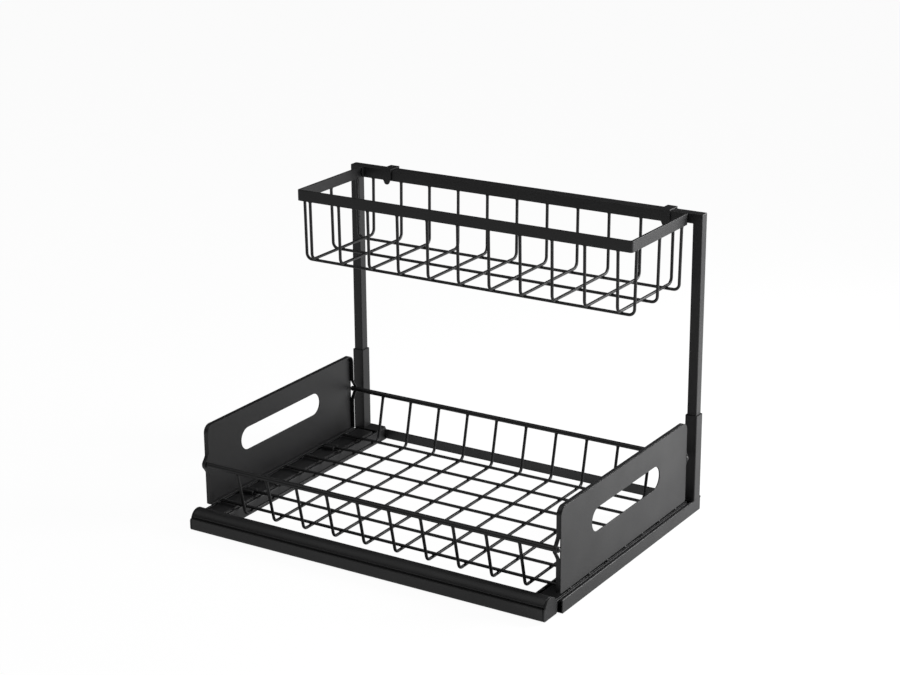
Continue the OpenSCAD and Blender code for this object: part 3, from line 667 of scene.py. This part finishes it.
def wire_tree():
    """A bent wire along the given points, repeated in a row, with a weld bead at both ends."""
    tree, given, goal = new_tree("row_of_bent_wires", (
        ("Count", "NodeSocketInt"), ("Spacing", "NodeSocketVector"),
        ("Wire Radius", "NodeSocketFloat"), ("Bend Radius", "NodeSocketFloat"),
        ("Bead Radius", "NodeSocketFloat"), ("Sides", "NodeSocketInt")))
    n, l = tree.nodes, tree.links
    route = n.new("GeometryNodeMeshToCurve")
    l.new(given.outputs["Geometry"], route.inputs["Mesh"])
    bent = n.new("GeometryNodeFilletCurve")
    bent.mode = "POLY"
    bent.inputs["Count"].default_value = BEND_STEPS
    l.new(route.outputs[0], bent.inputs["Curve"])
    l.new(given.outputs["Bend Radius"], bent.inputs["Radius"])
    section = n.new("GeometryNodeCurvePrimitiveCircle")
    l.new(given.outputs["Sides"], section.inputs["Resolution"])
    l.new(given.outputs["Wire Radius"], section.inputs["Radius"])
    wire = n.new("GeometryNodeCurveToMesh")
    wire.inputs["Fill Caps"].default_value = True
    l.new(bent.outputs[0], wire.inputs["Curve"])
    l.new(section.outputs[0], wire.inputs["Profile Curve"])
    bead = n.new("GeometryNodeMeshUVSphere")
    bead.inputs["Segments"].default_value = BEAD_SIDES
    bead.inputs["Rings"].default_value = BEAD_RINGS
    l.new(given.outputs["Bead Radius"], bead.inputs["Radius"])
    tips = n.new("GeometryNodeCurveEndpointSelection")
    beads = n.new("GeometryNodeInstanceOnPoints")
    l.new(route.outputs[0], beads.inputs["Points"])
    l.new(tips.outputs[0], beads.inputs["Selection"])
    l.new(bead.outputs["Mesh"], beads.inputs["Instance"])
    both = n.new("GeometryNodeJoinGeometry")
    l.new(wire.outputs[0], both.inputs[0])
    l.new(beads.outputs[0], both.inputs[0])
    row = n.new("GeometryNodeInstanceOnPoints")
    l.new(centred_row(tree, given), row.inputs["Points"])
    l.new(both.outputs[0], row.inputs["Instance"])
    l.new(row.outputs[0], goal)
    return tree


bent_wires = wire_tree()


def wires(name, points, count, spacing, radius, bend, bead, body, *replaced, sides=WIRE_SIDES):
    """One row of like wires as a piece."""
    values = {"Count": count, "Spacing": spacing, "Wire Radius": radius, "Bend Radius": bend,
              "Bead Radius": bead, "Sides": sides, "Finish": wire_coat}
    edges = [(i, i + 1) for i in range(len(points) - 1)]
    return grown(name, points, edges, bent_wires, values, body, "wire_steel", *replaced)


floor_low, floor_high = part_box("tray_floor_grid")
wall_low, wall_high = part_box("tray_back_wall")
top_low, top_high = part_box("tray_back_top_wire")
top_r = (top_high[2] - top_low[2]) / 2
top_y, top_z = top_high[1] - top_r, top_high[2] - top_r
cross_z = floor_low[2] + WIRE_R
long_z = cross_z + 2 * WIRE_R
lean = Vector((0, top_y - TRAY_BEND_CORNER, top_z - cross_z)).normalized()
tip = Vector((0, top_y, top_z)) - lean * (top_r + WIRE_R * TIP_IN)
cross_route = [(0, -tip.y, tip.z), (0, -TRAY_BEND_CORNER, cross_z),
               (0, TRAY_BEND_CORNER, cross_z), tip]
tray_step_x = (wall_high[0] - wall_low[0] - 2 * WIRE_R) / (TRAY_CROSS - 1)
wires("tray_cross_wires", cross_route, TRAY_CROSS, (tray_step_x, 0, 0), WIRE_R, TRAY_BEND,
      TRAY_BEAD_R, "tray", "tray_floor_grid", "tray_front_wall", "tray_back_wall")
LONG_ROW_IN = 0.0109
tray_step_y = 2 * (TRAY_BEND_CORNER - LONG_ROW_IN) / (TRAY_LONG - 1)
long_half = floor_high[0] - WIRE_R * LONG_TIP_IN
wires("tray_long_wires", [(-long_half, 0, long_z), (long_half, 0, long_z)], TRAY_LONG,
      (0, tray_step_y, 0), WIRE_R, 0, TRAY_BEAD_R, "tray", "tray_floor_grid")

# The welds of the tray's crossings: small flat nuggets of melted steel
# between the wires, left by the spot welder and coated with them.
NUGGET = (0.0015, 0.0015, 0.0009)
NUGGET_SIDES = 8


def weld_nuggets(name, body, cross_count, step_x, row_y, weld_z, long_count, step_y):
    """A nugget at each crossing of a grid of wires, as a piece."""
    columns = [((i - (cross_count - 1) / 2) * step_x, row_y, weld_z) for i in range(cross_count)]
    values = {"Count": long_count, "Spacing": (0, step_y, 0), "Size": NUGGET,
              "Segments": NUGGET_SIDES, "Finish": wire_coat}
    grown(name, columns, [], round_bodies, values, body, "wire_steel")


weld_nuggets("tray_weld_nuggets", "tray", TRAY_CROSS, tray_step_x, 0, (cross_z + long_z) / 2,
             TRAY_LONG, tray_step_y)

# The top wires: thicker wire of 5 mm along the front and the back of the tray,
# welded to the panels and to the tips of the cross wires.
TOP_WIRE_IN = 0.0006
TOP_BEAD_R = 0.0028
TOP_WIRE_SIDES = 20
top_half = top_high[0] - TOP_WIRE_IN
for name, y in (("tray_front_top_wire", -top_y), ("tray_back_top_wire", top_y)):
    wires(name + "_coated", [(-top_half, y, top_z), (top_half, y, top_z)], 1, (0, 0, 0), top_r, 0,
          TOP_BEAD_R, "tray", name, sides=TOP_WIRE_SIDES)

# The basket's rim: flat steel bar bent on edge to a rectangle, welded shut
# and coated like the frame. It carries the wires and the hooks.
RIM_EDGE = 0.0004
softened("basket_rim", "basket", "frame_steel", powder_coat, RIM_EDGE)

# The basket's wires: long wires below, cross wires on them, all bent up at
# both ends and butt welded under the rim.
BASKET_CROSS = 11
BASKET_LONG = 3
BASKET_BEND = 0.006
BASKET_DRAW_IN = 0.001
BASKET_ROW_Y = 0.0455
BASKET_BEAD_R = 0.0019
RIM_BAR = 0.0025
rim_low, rim_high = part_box("basket_rim")
grid_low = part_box("basket_floor_grid")[0]
row_low, row_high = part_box("basket_back_wires")
rim_y = (rim_low[1] + rim_high[1]) / 2
long_z = grid_low[2] + WIRE_R
cross_z = long_z + 2 * WIRE_R
side_y = (rim_high[1] - rim_low[1]) / 2 - RIM_BAR / 2
side_x = rim_high[0] - RIM_BAR / 2
corner_y = side_y - BASKET_DRAW_IN
corner_x = side_x - BASKET_DRAW_IN
cross_route = [(0, rim_y - side_y, rim_low[2]), (0, rim_y - corner_y, cross_z),
               (0, rim_y + corner_y, cross_z), (0, rim_y + side_y, rim_low[2])]
basket_step_x = (row_high[0] - row_low[0] - 2 * WIRE_R) / (BASKET_CROSS - 1)
wires("basket_cross_wires", cross_route, BASKET_CROSS, (basket_step_x, 0, 0), WIRE_R, BASKET_BEND,
      BASKET_BEAD_R, "basket", "basket_floor_grid", "basket_front_wires", "basket_back_wires")
long_route = [(-side_x, rim_y, rim_low[2]), (-corner_x, rim_y, long_z),
              (corner_x, rim_y, long_z), (side_x, rim_y, rim_low[2])]
wires("basket_long_wires", long_route, BASKET_LONG, (0, BASKET_ROW_Y, 0), WIRE_R, BASKET_BEND,
      BASKET_BEAD_R, "basket", "basket_floor_grid", "basket_left_wires", "basket_right_wires")
weld_nuggets("basket_weld_nuggets", "basket", BASKET_CROSS, basket_step_x, rim_y,
             (cross_z + long_z) / 2, BASKET_LONG, BASKET_ROW_Y)

# The hooks: straps of flat steel, welded inside the rim, that pass over the
# crossbar and hold the basket on it.
HOOK_EDGE = 0.0004
for node in ("left_hook", "right_hook"):
    softened(node, "basket", "frame_steel", powder_coat, HOOK_EDGE)
